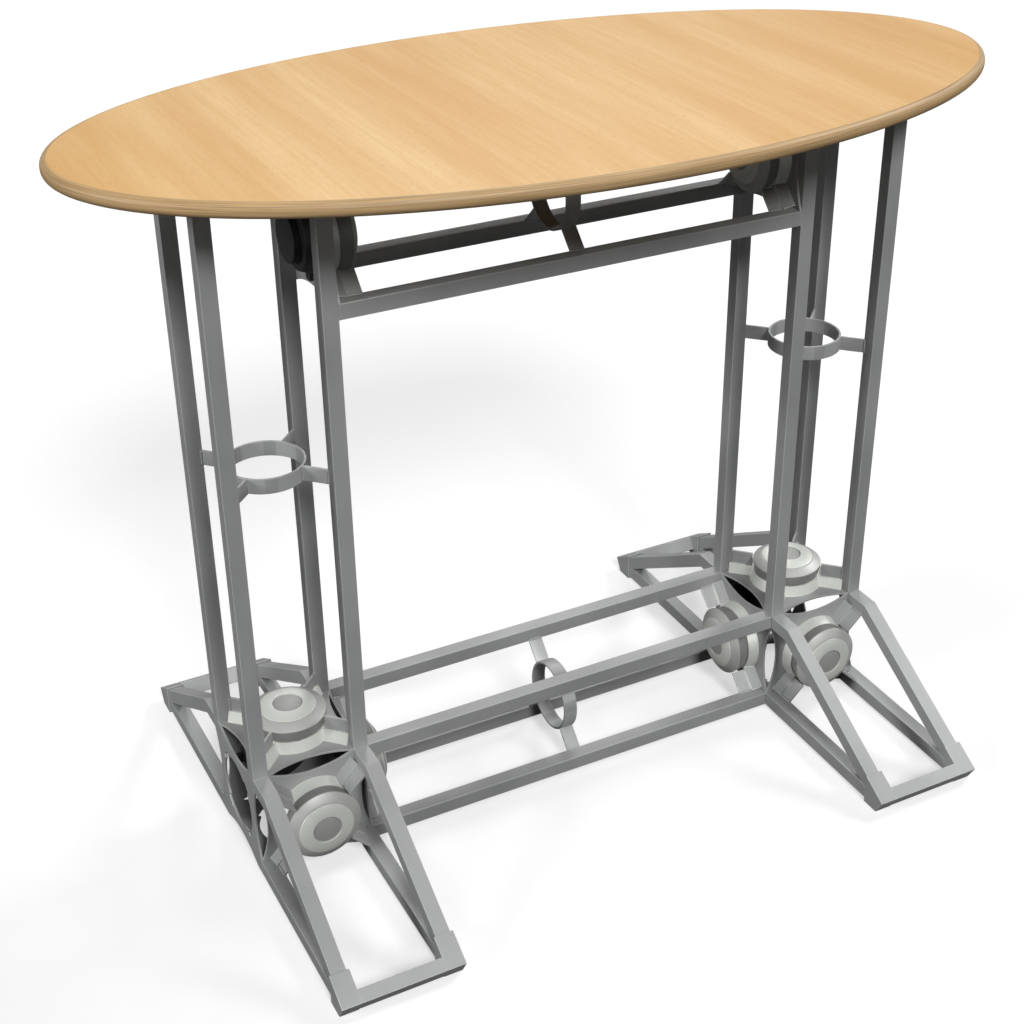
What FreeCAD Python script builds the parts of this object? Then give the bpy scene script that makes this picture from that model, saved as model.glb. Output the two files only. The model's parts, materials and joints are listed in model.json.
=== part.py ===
import FreeCAD, Part
import math
import os

from FreeCAD import Placement, Rotation, Vector

# Exhibition counter: an oval worktop carried by two square truss columns. The columns stand in
# corner junctions with wedge-shaped feet, and two cross trusses tie them together. Every truss
# section is held to the next by a twist lock: a knob that turns in the end spider of one section,
# with lugs that grip behind the star-shaped plate of the other.
# Millimetres. +Z is up, X runs along the counter, -Y faces the visitor. The origin is on the
# floor, midway between the columns.

# Worktop
WORKTOP_LENGTH = 1200.0
WORKTOP_WIDTH = 600.0
WORKTOP_THICKNESS = 18.0
WORKTOP_EDGE_RADIUS = 8.0
COUNTER_HEIGHT = 957.0

# Square section shared by columns, cross trusses, junctions and feet
SECTION = 156.0
TUBE = 20.0
TUBE_WALL = 2.0
COLUMN_SPACING = 786.0
UPPER_TRUSS_DROP = 26.0
COLUMN_RING_RISE = 393.0

# Plates under the worktop and their screws
TOP_PLATE_THICKNESS = 4.0
SCREW_OFFSET = 40.0
SCREW_RADIUS = 2.5
SCREW_HEAD_RADIUS = 5.5
SCREW_HEAD_HEIGHT = 3.5
SCREW_HEAD_ROUND = 1.2
SCREW_SOCKET_RADIUS = 2.5
SCREW_SOCKET_DEPTH = 2.0
SCREW_GRIP = 12.0
SCREW_CLEARANCE = 0.1

# Star plates: square, with hollowed edges and a round socket notched for the lock lugs
STAR_THICKNESS = 3.0
STAR_EDGE_SAG = 13.0
SOCKET_RADIUS = 52.0
NOTCH_CLEARANCE = 1.0

# Flat steel strip of the ring braces and the spiders' arms
STRIP_WIDTH = 20.0
STRIP_THICKNESS = 3.0
RING_RADIUS = 50.0

# End spiders
SPIDER_FOOT_RADIUS = 53.5
SPIDER_CREST_RADIUS = 48.5
SPIDER_HEIGHT = 15.0
ARM_FOOT_WIDTH = 20.0
ARM_CREST_WIDTH = 8.0
ARM_HEIGHT = 14.0

# Twist-lock knobs, heights counted outward from the star plate's outer face
NECK_RADIUS = 40.0
RUNNING_FIT = 0.08
FACE_GAP = 0.3
NECK_DEPTH = 13.0
BAND_RADIUS = 47.0
BAND_WIDTH = 16.0
LIP_RADIUS = 50.0
LIP_WIDTH = 1.5
SHOULDER_RADIUS = 38.5
SHOULDER_RISE = 6.5
BEAD_STEP = 1.2
CROWN_RADIUS = 37.2
CROWN_RISE = 3.8
GROOVE_RADIUS = 19.5
GROOVE_WIDTH = 1.5
GROOVE_DEPTH = 3.0
DISC_DROP = 1.0
KNOB_CLEARANCE = 1.5
KNOB_BORE_RADIUS = 32.0
KNOB_ROOF = 5.0

# Lock plugs behind the star plates
SPIGOT_RADIUS = 38.0
LUG_DISC_RADIUS = 46.0
LUG_RADIUS = 56.0
LUG_WIDTH = 14.0
LUG_THICKNESS = 6.0
PLUG_WAIST_RADIUS = 40.0
PLUG_WAIST_LENGTH = 14.0
PLUG_NOSE_RADIUS = 30.0
PLUG_NOSE_LENGTH = 10.0
PLUG_BORE_RADIUS = 24.0
PLUG_FLOOR = 5.0

# Feet
FOOT_FLAT_RUN = 39.5
FOOT_SLOPE = math.radians(30.0)
CAP_WALL = 3.0
CAP_SETBACK = 10.0
BAR_WIDTH = 18.0
BAR_DEPTH = 22.0

# Levels and offsets that follow from the sizes above
HALF = SECTION / 2
CLEAR = HALF - TUBE
CHORD = HALF - TUBE / 2
FRAME_BOTTOM = CAP_WALL
JUNCTION_TOP = FRAME_BOTTOM + SECTION
JUNCTION_MIDDLE = FRAME_BOTTOM + HALF
WORKTOP_UNDERSIDE = COUNTER_HEIGHT - WORKTOP_THICKNESS
COLUMN_TOP = WORKTOP_UNDERSIDE - TOP_PLATE_THICKNESS
UPPER_MIDDLE = WORKTOP_UNDERSIDE - UPPER_TRUSS_DROP - HALF
JUNCTION_FACE = COLUMN_SPACING / 2 - HALF
UPPER_FACE = JUNCTION_FACE - STAR_THICKNESS
CORNER_REACH = math.hypot(CLEAR, CLEAR) + STRIP_THICKNESS

UP = Vector(0, 0, 1)
DOWN = Vector(0, 0, -1)
RIGHT = Vector(1, 0, 0)
LEFT = Vector(-1, 0, 0)
FRONT = Vector(0, -1, 0)
BACK = Vector(0, 1, 0)
SIDES = {"left": -1, "right": 1}
ENDS = {"front": -1, "back": 1}
SQUARE_ANGLES = (0, 90, 180, 270)
DIAGONAL_ANGLES = (45, 135, 225, 315)

# How far a cutting shape runs past the face it opens
OVERCUT = 1.0


def box(low, high):
    """Block between two opposite corners."""
    size = high - low
    return Part.makeBox(size.x, size.y, size.z, low)


def turned(profile):
    """Solid of revolution about Z from (radius, height) points."""
    points = [Vector(radius, 0, height) for radius, height in profile]
    face = Part.Face(Part.makePolygon(points + points[:1]))
    return face.revolve(Vector(0, 0, 0), UP, 360)


def around(shape, turns):
    """Copies of a shape turned about Z to each of the given angles."""
    copies = []
    for angle in turns:
        copy = shape.copy()
        copy.rotate(Vector(0, 0, 0), UP, angle)
        copies.append(copy)
    return copies


def placed(shape, origin, direction=UP):
    """Copy of a shape with its own origin at a point and its own +Z along a direction."""
    turn = Rotation(RIGHT, 180) if direction == DOWN else Rotation(UP, direction)
    copy = shape.copy()
    copy.Placement = Placement(origin, turn)
    return copy


def corners():
    """Signs of the four corners of the square section."""
    return [(x, y) for x in (-1, 1) for y in (-1, 1)]


def chord_blocks(low, high):
    """The space that four chord tubes fill between two heights, in a section's own frame."""
    blocks = []
    for x, y in corners():
        centre = Vector(x * CHORD, y * CHORD, 0)
        reach = Vector(TUBE / 2, TUBE / 2, 0)
        blocks.append(box(centre - reach + UP * low, centre + reach + UP * high))
    return blocks


def square_tube(length):
    """Square tube standing on its own origin, open at both ends."""
    reach = TUBE / 2
    bore = reach - TUBE_WALL
    outside = box(Vector(-reach, -reach, 0), Vector(reach, reach, length))
    inside = box(Vector(-bore, -bore, -OVERCUT), Vector(bore, bore, length + OVERCUT))
    return outside.cut(inside)


def worktop():
    """Oval board with rounded edges and pilot holes for the plate screws."""
    oval = Part.Ellipse(Vector(0, 0, WORKTOP_UNDERSIDE), WORKTOP_LENGTH / 2, WORKTOP_WIDTH / 2)
    board = Part.Face(Part.Wire(oval.toShape())).extrude(UP * WORKTOP_THICKNESS)
    rims = [edge for edge in board.Edges if isinstance(edge.Curve, Part.Ellipse)]
    board = board.makeFillet(WORKTOP_EDGE_RADIUS, rims)
    pilots = [
        Part.makeCylinder(SCREW_RADIUS + SCREW_CLEARANCE, SCREW_GRIP + OVERCUT, point)
        for point in screw_points(WORKTOP_UNDERSIDE)
    ]
    return board.cut(pilots)


def screw_points(height):
    """Screw axes of both top plates at one height."""
    points = []
    for side in SIDES.values():
        for x, y in corners():
            points.append(Vector(side * COLUMN_SPACING / 2 + x * SCREW_OFFSET, y * SCREW_OFFSET, height))
    return points


def top_plate(side):
    """Square plate on a column's chord ends, screwed up into the worktop."""
    centre = Vector(side * COLUMN_SPACING / 2, 0, COLUMN_TOP)
    reach = Vector(HALF, HALF, 0)
    plate = box(centre - reach, centre + reach + UP * TOP_PLATE_THICKNESS)
    holes = [
        Part.makeCylinder(SCREW_RADIUS + SCREW_CLEARANCE, TOP_PLATE_THICKNESS, point)
        for point in screw_points(COLUMN_TOP)
    ]
    return plate.cut(holes)


def worktop_screws():
    """Round-headed socket screws, from under the top plates into the worktop."""
    shank = Part.makeCylinder(SCREW_RADIUS, TOP_PLATE_THICKNESS + SCREW_GRIP)
    head = Part.makeCylinder(SCREW_HEAD_RADIUS, SCREW_HEAD_HEIGHT, DOWN * SCREW_HEAD_HEIGHT)
    rim = [edge for edge in head.Edges if edge.BoundBox.ZMax < -SCREW_HEAD_HEIGHT / 2]
    head = head.makeFillet(SCREW_HEAD_ROUND, rim)
    hexagon = [
        Vector(math.cos(turn * math.pi / 3), math.sin(turn * math.pi / 3), 0) * SCREW_SOCKET_RADIUS
        for turn in range(7)
    ]
    socket = Part.Face(Part.makePolygon(hexagon)).extrude(UP * SCREW_SOCKET_DEPTH)
    socket.translate(DOWN * SCREW_HEAD_HEIGHT)
    screw = shank.fuse(head).cut(socket).removeSplitter()
    return [placed(screw, point) for point in screw_points(COLUMN_TOP)]


def star_plate():
    """Square plate, corner pads as wide as a tube, hollowed edges, notched round socket.

    Its outer face lies at height 0 of its own frame.
    """
    edges = []
    for turn in range(4):
        side = [
            Part.LineSegment(Vector(-HALF, -HALF, 0), Vector(-CLEAR, -HALF, 0)).toShape(),
            Part.Arc(
                Vector(-CLEAR, -HALF, 0), Vector(0, STAR_EDGE_SAG - HALF, 0), Vector(CLEAR, -HALF, 0)
            ).toShape(),
            Part.LineSegment(Vector(CLEAR, -HALF, 0), Vector(HALF, -HALF, 0)).toShape(),
        ]
        for edge in side:
            edge.rotate(Vector(0, 0, 0), UP, 90 * turn)
            edges.append(edge)
    outline = Part.Wire(Part.__sortEdges__(edges))
    plate = Part.Face(outline).extrude(DOWN * STAR_THICKNESS)
    socket = Part.makeCylinder(SOCKET_RADIUS, STAR_THICKNESS, DOWN * STAR_THICKNESS)
    notch_half = LUG_WIDTH / 2 + NOTCH_CLEARANCE
    notch_reach = LUG_RADIUS + NOTCH_CLEARANCE
    notch = box(Vector(0, -notch_half, -STAR_THICKNESS), Vector(notch_reach, notch_half, 0))
    return plate.cut([socket] + around(notch, DIAGONAL_ANGLES))


def junction(side):
    """Six star plates standing as a cube, welded where their corner pads meet."""
    middle = Vector(side * COLUMN_SPACING / 2, 0, JUNCTION_MIDDLE)
    plates = []
    for direction in (UP, DOWN, FRONT, BACK, LEFT, RIGHT):
        plate = placed(star_plate(), middle + direction * HALF, direction)
        if plates:
            plate = plate.cut(plates)
        plates.append(plate)
    return plates


def side_plate(side):
    """Star plate on the inner chords of a column, where the upper truss is locked on."""
    face = Vector(side * UPPER_FACE, 0, UPPER_MIDDLE)
    return placed(star_plate(), face, Vector(-side, 0, 0))


def radial_strip(start, low, high):
    """Flat strip along +X from a radius out to the chord tube's inner corner."""
    low_corner = Vector(start, -STRIP_THICKNESS / 2, low)
    return box(low_corner, Vector(CORNER_REACH, STRIP_THICKNESS / 2, high))


def tapered_arm(start):
    """Cast arm lying on a star plate along +X, narrower towards its crest, as long as a strip."""
    foot = ARM_FOOT_WIDTH / 2
    crest = ARM_CREST_WIDTH / 2
    points = [
        Vector(start, -foot, 0),
        Vector(start, foot, 0),
        Vector(start, crest, ARM_HEIGHT),
        Vector(start, -crest, ARM_HEIGHT),
    ]
    return Part.Face(Part.makePolygon(points + points[:1])).extrude(RIGHT * (CORNER_REACH - start))


def ring_brace():
    """Strip bent to a ring, with four radial tabs notched on to the chords' inner corners."""
    low = -STRIP_WIDTH / 2
    high = STRIP_WIDTH / 2
    bore_radius = RING_RADIUS - STRIP_THICKNESS
    tabs = around(radial_strip(bore_radius, low, high), DIAGONAL_ANGLES)
    bore = Part.makeCylinder(bore_radius, STRIP_WIDTH, UP * low)
    ring = Part.makeCylinder(RING_RADIUS, STRIP_WIDTH, UP * low)
    return ring.fuse(tabs).cut([bore] + chord_blocks(low, high)).removeSplitter()


def spider():
    """Hub ring that seats on a star plate, with arms and upright strips to the chords' corners."""
    strip_top = ARM_HEIGHT + STRIP_WIDTH
    bore_radius = NECK_RADIUS + RUNNING_FIT
    ring = Part.makeCone(SPIDER_FOOT_RADIUS, SPIDER_CREST_RADIUS, SPIDER_HEIGHT)
    strip = radial_strip(LIP_RADIUS + KNOB_CLEARANCE, ARM_HEIGHT, strip_top)
    arms = around(tapered_arm(bore_radius).fuse(strip), DIAGONAL_ANGLES)
    bore = Part.makeCylinder(bore_radius, SPIDER_HEIGHT)
    return ring.fuse(arms).cut([bore] + chord_blocks(0, strip_top)).removeSplitter()


def knob():
    """Grip of a twist lock, hollow from below: neck, band, lip, shoulder, crown and centre disc."""
    neck_end = SPIDER_HEIGHT - NECK_DEPTH
    seat = SPIDER_HEIGHT + FACE_GAP
    lip = seat + BAND_WIDTH
    shoulder = lip + LIP_WIDTH
    bead = shoulder + SHOULDER_RISE
    crown = bead + BEAD_STEP
    rim = crown + CROWN_RISE
    groove = rim - GROOVE_DEPTH
    disc_radius = GROOVE_RADIUS - GROOVE_WIDTH
    return turned([
        (0, groove - KNOB_ROOF),
        (KNOB_BORE_RADIUS, groove - KNOB_ROOF),
        (KNOB_BORE_RADIUS, neck_end),
        (NECK_RADIUS, neck_end),
        (NECK_RADIUS, seat),
        (BAND_RADIUS, seat),
        (LIP_RADIUS, lip),
        (LIP_RADIUS, shoulder),
        (SHOULDER_RADIUS, bead),
        (CROWN_RADIUS, bead),
        (CROWN_RADIUS, crown),
        (GROOVE_RADIUS, rim),
        (GROOVE_RADIUS, groove),
        (disc_radius, groove),
        (disc_radius, rim - DISC_DROP),
        (0, rim - DISC_DROP),
    ])


def lock_plug():
    """Inner half of a twist lock, a cup turned by the knob: spigot, lug disc, waist and nose."""
    top = SPIDER_HEIGHT - NECK_DEPTH
    disc_top = -STAR_THICKNESS - FACE_GAP
    disc_end = disc_top - LUG_THICKNESS
    waist_end = disc_end - PLUG_WAIST_LENGTH
    nose_end = waist_end - PLUG_NOSE_LENGTH
    core = turned([
        (0, nose_end + PLUG_FLOOR),
        (PLUG_BORE_RADIUS, nose_end + PLUG_FLOOR),
        (PLUG_BORE_RADIUS, top),
        (SPIGOT_RADIUS, top),
        (SPIGOT_RADIUS, disc_top),
        (LUG_DISC_RADIUS, disc_top),
        (LUG_DISC_RADIUS, disc_end),
        (PLUG_WAIST_RADIUS, waist_end),
        (PLUG_NOSE_RADIUS, waist_end),
        (PLUG_NOSE_RADIUS, nose_end),
        (0, nose_end),
    ])
    lug = box(Vector(SPIGOT_RADIUS, -LUG_WIDTH / 2, disc_end), Vector(LUG_RADIUS, LUG_WIDTH / 2, disc_top))
    reach = Part.makeCylinder(LUG_RADIUS, LUG_THICKNESS, UP * disc_end)
    lugs = around(lug.common(reach), SQUARE_ANGLES)
    return core.fuse(lugs).removeSplitter()


def foot_corners():
    """Bends and ends of a foot's rails as (distance from the junction, height) pairs."""
    bend = math.tan(FOOT_SLOPE / 2)
    inner_bend = FOOT_FLAT_RUN - TUBE * bend
    tip = inner_bend + (SECTION - TUBE) / math.tan(FOOT_SLOPE)
    return {
        "outer_bend": (FOOT_FLAT_RUN, SECTION),
        "inner_bend": (inner_bend, SECTION - TUBE),
        "crotch": (inner_bend + (SECTION - 2 * TUBE) / math.tan(FOOT_SLOPE), TUBE),
        "tip_bottom": (tip, 0),
        "tip_top": (tip + TUBE * math.sin(FOOT_SLOPE), TUBE * math.cos(FOOT_SLOPE)),
    }


def moved_point(point, along=0.0, out=0.0):
    """Point shifted down the foot's slope and square out of it."""
    return (
        point[0] + along * math.cos(FOOT_SLOPE) + out * math.sin(FOOT_SLOPE),
        point[1] - along * math.sin(FOOT_SLOPE) + out * math.cos(FOOT_SLOPE),
    )


def side_slab(profile, middle, width):
    """Outline in (distance, height) pairs, spread to a width about a middle X."""
    points = [
        Vector(middle - width / 2, HALF + distance, FRAME_BOTTOM + height) for distance, height in profile
    ]
    return Part.Face(Part.makePolygon(points + points[:1])).extrude(RIGHT * width)


def upper_rail(middle):
    """Bent square tube: level out of the junction, then straight down the slope to the tip."""
    at = foot_corners()
    bend = math.tan(FOOT_SLOPE / 2)
    outside = side_slab(
        [
            (0, SECTION),
            at["outer_bend"],
            at["tip_top"],
            at["tip_bottom"],
            at["inner_bend"],
            (0, SECTION - TUBE),
        ],
        middle,
        TUBE,
    )
    roof = SECTION - TUBE_WALL
    floor = SECTION - TUBE + TUBE_WALL
    inside = side_slab(
        [
            (-OVERCUT, roof),
            (FOOT_FLAT_RUN - TUBE_WALL * bend, roof),
            moved_point(at["tip_top"], OVERCUT, -TUBE_WALL),
            moved_point(at["tip_bottom"], OVERCUT, TUBE_WALL),
            (at["inner_bend"][0] + TUBE_WALL * bend, floor),
            (-OVERCUT, floor),
        ],
        middle,
        TUBE - 2 * TUBE_WALL,
    )
    return outside.cut(inside)


def lower_rail(middle):
    """Straight square tube along the floor, mitred under the upper rail."""
    at = foot_corners()
    outside = side_slab([(0, 0), at["tip_bottom"], at["crotch"], (0, TUBE)], middle, TUBE)
    reach = at["tip_bottom"][0]
    roof = TUBE - TUBE_WALL
    inside = side_slab(
        [(-OVERCUT, TUBE_WALL), (reach, TUBE_WALL), (reach, roof), (-OVERCUT, roof)],
        middle,
        TUBE - 2 * TUBE_WALL,
    )
    return outside.cut(inside)


def toe_cap(middle):
    """Closed sheet cap over the tips of one upper and one lower rail, the foot's rest."""
    at = foot_corners()
    rear = at["crotch"][0] + CAP_SETBACK
    slope = math.tan(FOOT_SLOPE)

    def outline(wall, rear):
        roof = SECTION + wall / math.cos(FOOT_SLOPE) - (rear - FOOT_FLAT_RUN) * slope
        front_top = moved_point(at["tip_top"], wall, wall)
        front = moved_point(at["tip_bottom"], wall)
        front_bottom = (front[0] - (front[1] + wall) * slope, -wall)
        return [(rear, -wall), front_bottom, front_top, (rear, roof)]

    outside = side_slab(outline(CAP_WALL, rear), middle, TUBE + 2 * CAP_WALL)
    return outside.cut(side_slab(outline(0, rear - OVERCUT), middle, TUBE))


def toe_bar():
    """Cross bar between the two toe caps, flush with their sloping tops and fronts."""
    edge = moved_point(foot_corners()["tip_top"], CAP_WALL, CAP_WALL)

    def outline(wall):
        return [
            moved_point(edge, -wall, -wall),
            moved_point(edge, wall - BAR_WIDTH, -wall),
            moved_point(edge, wall - BAR_WIDTH, wall - BAR_DEPTH),
            moved_point(edge, -wall, wall - BAR_DEPTH),
        ]

    length = 2 * (CLEAR - CAP_WALL)
    return side_slab(outline(0), 0, length).cut(side_slab(outline(TUBE_WALL), 0, length))


def to_foot(shape, side, end):
    """Foot piece, made behind the origin, brought to its junction and turned to its end."""
    copy = shape.copy()
    if end < 0:
        copy.rotate(Vector(0, 0, 0), UP, 180)
    copy.translate(RIGHT * side * COLUMN_SPACING / 2)
    return copy


def foot_rails():
    """The four tubes of a foot."""
    return [rail(x * CHORD) for x in (-1, 1) for rail in (upper_rail, lower_rail)]


def foot_toe():
    """The two caps and the bar that join the rails at the tip."""
    return [toe_cap(-CHORD), toe_cap(CHORD), toe_bar()]


def connections():
    """Every twist lock: name, point on the star plate's outer face, outward direction."""
    joints = {}
    for side_name, side in SIDES.items():
        middle = side * COLUMN_SPACING / 2
        inward = Vector(-side, 0, 0)
        joints[side_name + "_column"] = (Vector(middle, 0, JUNCTION_TOP), UP)
        joints["lower_truss_" + side_name] = (Vector(side * JUNCTION_FACE, 0, JUNCTION_MIDDLE), inward)
        joints["upper_truss_" + side_name] = (Vector(side * UPPER_FACE, 0, UPPER_MIDDLE), inward)
        for end_name, end in ENDS.items():
            face = Vector(middle, end * HALF, JUNCTION_MIDDLE)
            joints[side_name + "_" + end_name + "_foot"] = (face, Vector(0, end, 0))
    return joints


def column_pieces():
    """Chord tubes, ring brace, plates and junction of both columns."""
    pieces = {}
    tube = square_tube(COLUMN_TOP - JUNCTION_TOP)
    brace = ring_brace()
    for side_name, side in SIDES.items():
        middle = side * COLUMN_SPACING / 2
        for end_name, end in ENDS.items():
            for reach_name, reach in (("outer", side), ("inner", -side)):
                foot = Vector(middle + reach * CHORD, end * CHORD, JUNCTION_TOP)
                pieces["_".join((side_name, "column_chord", end_name, reach_name))] = placed(tube, foot)
        ring_middle = Vector(middle, 0, JUNCTION_TOP + COLUMN_RING_RISE)
        pieces[side_name + "_column_ring"] = placed(brace, ring_middle)
        pieces[side_name + "_junction"] = junction(side)
        pieces[side_name + "_side_plate"] = side_plate(side)
        pieces[side_name + "_top_plate"] = top_plate(side)
    return pieces


def truss_pieces():
    """Chord tubes and ring brace of both cross trusses."""
    pieces = {}
    brace = ring_brace()
    for name, face, middle in (
        ("lower_truss", JUNCTION_FACE, JUNCTION_MIDDLE),
        ("upper_truss", UPPER_FACE, UPPER_MIDDLE),
    ):
        tube = square_tube(2 * face)
        for end_name, end in ENDS.items():
            for level_name, level in (("bottom", -1), ("top", 1)):
                start = Vector(-face, end * CHORD, middle + level * CHORD)
                pieces["_".join((name, "chord", end_name, level_name))] = placed(tube, start, RIGHT)
        pieces[name + "_ring"] = placed(brace, Vector(0, 0, middle), RIGHT)
    return pieces


def foot_pieces():
    """Rails and toe of the four feet."""
    pieces = {}
    for side_name, side in SIDES.items():
        for end_name, end in ENDS.items():
            name = side_name + "_" + end_name + "_foot_"
            pieces[name + "rails"] = [to_foot(rail, side, end) for rail in foot_rails()]
            pieces[name + "toe"] = [to_foot(piece, side, end) for piece in foot_toe()]
    return pieces


def lock_pieces():
    """Spiders, grouped by the kind of section they end, and each lock's knob and plug."""
    pieces = {}
    hub = spider()
    grip = knob()
    plug = lock_plug()
    for name, (point, direction) in connections().items():
        kind = name
        for side_name in SIDES:
            kind = kind.replace(side_name, "")
        for end_name in ENDS:
            kind = kind.replace(end_name, "")
        group = kind.strip("_") + "_spiders"
        pieces.setdefault(group, []).append(placed(hub, point, direction))
        pieces[name + "_knob"] = placed(grip, point, direction)
        pieces[name + "_lock_plug"] = placed(plug, point, direction)
    return pieces


def all_pieces():
    """Every named piece of the counter."""
    pieces = {"worktop": worktop(), "worktop_screws": worktop_screws()}
    for group in (column_pieces(), truss_pieces(), foot_pieces(), lock_pieces()):
        pieces.update(group)
    return pieces


os.makedirs("parts", exist_ok=True)
for node, shape in all_pieces().items():
    members = shape if isinstance(shape, list) else [shape]
    solids = [solid for member in members for solid in member.Solids]
    whole = solids[0] if len(solids) == 1 else Part.makeCompound(solids)
    whole.exportStep("parts/" + node + ".step")
    print(node, len(solids), round(sum(solid.Volume for solid in solids) / 1000, 2), "cm3")
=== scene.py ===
# %% [markdown]
# # An exhibition counter
# An oval wood worktop stands on two square truss columns. The CAD frame already holds every
# solid in its place, in metres, so this lesson is about finish: softened edges, turned and cast
# pieces, weld beads, wood grain, coated steel, and the light that shows them.

import json
import math

import bmesh
import bpy
from mathutils import Matrix, Vector


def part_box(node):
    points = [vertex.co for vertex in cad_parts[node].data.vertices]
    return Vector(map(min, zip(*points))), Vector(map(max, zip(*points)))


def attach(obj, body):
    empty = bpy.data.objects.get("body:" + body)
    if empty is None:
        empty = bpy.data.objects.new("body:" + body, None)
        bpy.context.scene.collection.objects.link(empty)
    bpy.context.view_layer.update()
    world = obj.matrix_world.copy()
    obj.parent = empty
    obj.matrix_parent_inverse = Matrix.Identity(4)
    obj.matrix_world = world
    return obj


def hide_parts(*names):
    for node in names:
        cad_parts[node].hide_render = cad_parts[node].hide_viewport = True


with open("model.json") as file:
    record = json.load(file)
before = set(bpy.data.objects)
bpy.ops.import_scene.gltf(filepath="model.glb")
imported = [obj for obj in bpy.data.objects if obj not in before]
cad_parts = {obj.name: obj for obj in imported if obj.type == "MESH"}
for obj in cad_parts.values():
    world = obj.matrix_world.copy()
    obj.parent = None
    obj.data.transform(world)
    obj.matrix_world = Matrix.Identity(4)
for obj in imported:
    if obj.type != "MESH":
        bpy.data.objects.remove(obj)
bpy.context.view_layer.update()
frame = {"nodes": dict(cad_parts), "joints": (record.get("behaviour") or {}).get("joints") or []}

# %% [markdown]
# ## Three small helpers
# Colours are written as the sRGB hex values that a paint chart gives, but shaders work in linear
# light, so one function turns the first into the second. A second function adds any shader or
# geometry node with its settings and links, which keeps every finish below short. A third gives
# the scale of a pattern from the real size of its details.

# %% Colour and node helpers
MM = 0.001
MM_PER_METRE = 1000


def linear(code):
    """Linear RGBA of an sRGB hex colour such as #c8c8c8."""
    parts = [int(code[i:i + 2], 16) / 255 for i in (1, 3, 5)]
    return [p / 12.92 if p <= 0.04045 else ((p + 0.055) / 1.055) ** 2.4 for p in parts] + [1.0]


def add(tree, kind, inputs=None, **settings):
    """New node with its settings. An input is a plain value, or (node, output) to link from."""
    node = tree.nodes.new(kind)
    for name, value in settings.items():
        setattr(node, name, value)
    for socket, value in (inputs or {}).items():
        if isinstance(value, tuple) and isinstance(value[0], bpy.types.Node):
            tree.links.new(value[0].outputs[value[1]], node.inputs[socket])
        else:
            node.inputs[socket].default_value = value
    return node


def per_metre(*sizes_mm):
    """Pattern scale for details of these sizes, one for each axis, on coordinates in metres."""
    return tuple(MM_PER_METRE / size for size in sizes_mm)


print("helpers ready:", [round(v, 3) for v in linear("#808080")])

# %% [markdown]
# ## The camera
# The picture was taken from the front left, looking down by a little under thirty degrees. The
# straight chord tubes gave the position, direction and lens by a least-squares fit. The object is
# a little off the optical axis there, so the lens gets a small shift.

# %% Camera
CAMERA_POINT = (-0.9341, -1.7527, 1.5423)
CAMERA_AZIMUTH = math.radians(28.06)
CAMERA_DIP = math.radians(29.46)
CAMERA_LENS = 60.24
SENSOR_WIDTH = 36.0
CAMERA_SHIFT = (-0.0413, -0.0249)

lens = bpy.data.cameras.new("camera")
lens.lens = CAMERA_LENS
lens.sensor_width = SENSOR_WIDTH
lens.shift_x, lens.shift_y = CAMERA_SHIFT
camera = bpy.data.objects.new("camera", lens)
camera.location = CAMERA_POINT
camera.rotation_euler = (math.pi / 2 - CAMERA_DIP, 0.0, -CAMERA_AZIMUTH)
bpy.context.scene.collection.objects.link(camera)
bpy.context.scene.camera = camera
print("camera", [round(v, 3) for v in camera.location])

# %% [markdown]
# ## Floor and light
# Four soft lights stand round the counter: a strong one in front, one on each side, and a weak one
# behind. None is overhead, so sides are middle grey and what lies close under the worktop falls
# into shade. A sun lamp with a wide disc acts as an endless softbox and lights a wide floor evenly.
# The strengths started from a least-squares fit of one picture per light to the photo's greys, and
# were then set one by one. World and floor are white to the camera. Gloss sees white walls of limited
# height under a dark ceiling, so that the metal shows the background where it mirrors it and keeps
# its middle greys elsewhere. To the camera the floor is about half glow, which keeps the object's
# shadow but makes it pale.

# %% Studio
FLOOR_HALF = 30.0
SOFTBOX_WIDTH = math.radians(16)
SOFTBOXES = {
    "front_light": {"azimuth": math.radians(-5), "rise": math.radians(40), "strength": 2.5},
    "left_light": {"azimuth": math.radians(-88), "rise": math.radians(22), "strength": 1.7},
    "right_light": {"azimuth": math.radians(97), "rise": math.radians(40), "strength": 1.5},
    "back_light": {"azimuth": math.radians(152), "rise": math.radians(35), "strength": 0.6},
}
WHITE = linear("#ffffff")
WALL_RISE = math.radians(9)
WALL_FADE = 1.5
FILL_STRENGTH = 0.01
FLOOR_BOUNCE = "#464646"
FLOOR_GLOW = 0.55


def studio_world():
    """World that is white to the camera, with white walls and a dark ceiling for reflections."""
    world = bpy.data.worlds.new("studio_world")
    world.use_nodes = True
    tree = world.node_tree
    tree.nodes.clear()
    path = add(tree, "ShaderNodeLightPath")
    mirrored = add(
        tree, "ShaderNodeMath", {0: (path, "Is Glossy Ray"), 1: (path, "Is Transmission Ray")},
        operation="MAXIMUM",
    )
    place = add(tree, "ShaderNodeTexCoord")
    toward = add(tree, "ShaderNodeSeparateXYZ", {0: (place, "Generated")})
    top = math.sin(WALL_RISE)
    wall = add(
        tree, "ShaderNodeMapRange", {0: (toward, "Z"), 1: top, 2: WALL_FADE * top, 3: 1.0, 4: 0.0}
    )
    on_wall = add(tree, "ShaderNodeMath", {0: (mirrored, 0), 1: (wall, 0)}, operation="MULTIPLY")
    white = add(
        tree, "ShaderNodeMath", {0: (path, "Is Camera Ray"), 1: (on_wall, 0)}, operation="MAXIMUM"
    )
    shown = add(tree, "ShaderNodeBackground", {"Color": WHITE, "Strength": 1.0})
    fill = add(tree, "ShaderNodeBackground", {"Color": WHITE, "Strength": FILL_STRENGTH})
    mix = add(tree, "ShaderNodeMixShader", {0: (white, 0), 1: (fill, 0), 2: (shown, 0)})
    add(tree, "ShaderNodeOutputWorld", {"Surface": (mix, 0)})
    return world


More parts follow.
